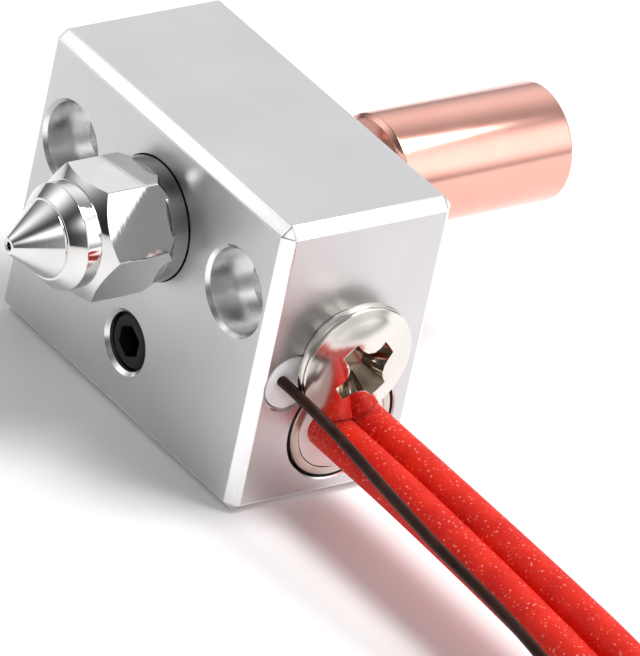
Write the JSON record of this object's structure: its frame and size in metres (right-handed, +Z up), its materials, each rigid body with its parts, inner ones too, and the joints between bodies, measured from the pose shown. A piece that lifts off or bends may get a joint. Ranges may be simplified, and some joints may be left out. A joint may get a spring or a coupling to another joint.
{
  "type": "hotend assembly",
  "caption": "Printer hotend: chamfered aluminium heater block with hex nozzle, copper-sleeved heat break, cartridge heater, clamp screw and potted thermistor on coiled leads.",
  "frame": {"origin": "middle of the underside of the assembly without its free leads, on the surface that the block lies on", "axes": "+X from the nozzle towards the heat break, +Z up through the block's long narrow side, and the leads leave along -Y"},
  "size_m": [0.0487, 0.0813, 0.016],
  "materials": {
    "aluminium": "machined satin with bright chamfers",
    "nickel": "bright nickel plate",
    "copper": "polished bare copper",
    "stainless": "drawn stainless steel",
    "black_steel": "black oxide steel",
    "tinned_copper": "tinned",
    "resistance_wire": "drawn nickel-chrome wire",
    "ceramic": "fired magnesia ceramic",
    "potting": "white heat-proof cement",
    "glass": "clear amber glass bead",
    "red_silicone": "silicone insulation with a woven texture",
    "brown_sleeve": "smooth brown heat-proof sleeve",
    "tie_band": "flat black tie strip",
    "white_nylon": "moulded natural nylon",
    "red_nylon": "moulded red nylon"
  },
  "bodies": {
    "block": {"heater_block": "aluminium"},
    "nozzle": {"nozzle": "nickel"},
    "heat_break": {"heat_break_thread": "copper", "heat_break_tube": "stainless", "heat_break_sleeve": "copper"},
    "grub_screw": {"grub_screw": "black_steel"},
    "clamp_screw": {"clamp_screw": "nickel", "clamp_washer": "nickel", "clamp_lock_washer": "nickel"},
    "heater": {"heater_sheath": "stainless", "heater_core": "ceramic", "heater_element": "resistance_wire", "heater_end_seal": "potting", "heater_pin_left": "tinned_copper", "heater_pin_right": "tinned_copper", "heater_lead_left": "red_silicone", "heater_lead_right": "red_silicone", "heater_lead_coil_left": "red_silicone", "heater_lead_coil_right": "red_silicone", "ferrule_collar_left": "red_nylon", "ferrule_collar_right": "red_nylon", "ferrule_pin_left": "tinned_copper", "ferrule_pin_right": "tinned_copper", "coil_tie_left": "tie_band", "coil_tie_right": "tie_band"},
    "thermistor": {"thermistor_potting": "potting", "thermistor_bead": "glass", "thermistor_leg_left": "tinned_copper", "thermistor_leg_right": "tinned_copper", "thermistor_lead": "brown_sleeve", "thermistor_lead_coil": "brown_sleeve", "thermistor_lead_tail": "brown_sleeve", "coil_tie_thermistor": "tie_band", "thermistor_plug": "white_nylon", "thermistor_plug_contact_1": "tinned_copper", "thermistor_plug_contact_2": "tinned_copper"}
  },
  "joints": [
    {"name": "nozzle_unscrew", "type": "slide", "parent": "block", "child": "nozzle", "axis": [-1, 0, 0], "range_m": [0, 0.008]},
    {"name": "heat_break_unscrew", "type": "slide", "parent": "block", "child": "heat_break", "axis": [1, 0, 0], "range_m": [0, 0.006]},
    {"name": "grub_screw_unscrew", "type": "slide", "parent": "block", "child": "grub_screw", "axis": [-1, 0, 0], "range_m": [0, 0.004]},
    {"name": "heater_pull_out", "type": "slide", "parent": "block", "child": "heater", "axis": [0, -1, 0], "range_m": [0, 0.021]},
    {"name": "clamp_screw_unscrew", "type": "slide", "parent": "block", "child": "clamp_screw", "axis": [0, -1, 0], "range_m": [0, 0.021]},
    {"name": "thermistor_pull_out", "type": "slide", "parent": "block", "child": "thermistor", "axis": [0, -1, 0], "range_m": [0, 0.021]}
  ],
  "couplings": [
    {"joint": "clamp_screw_unscrew", "follows": "heater_pull_out", "ratio": 1},
    {"joint": "thermistor_pull_out", "follows": "heater_pull_out", "ratio": 1}
  ]
}
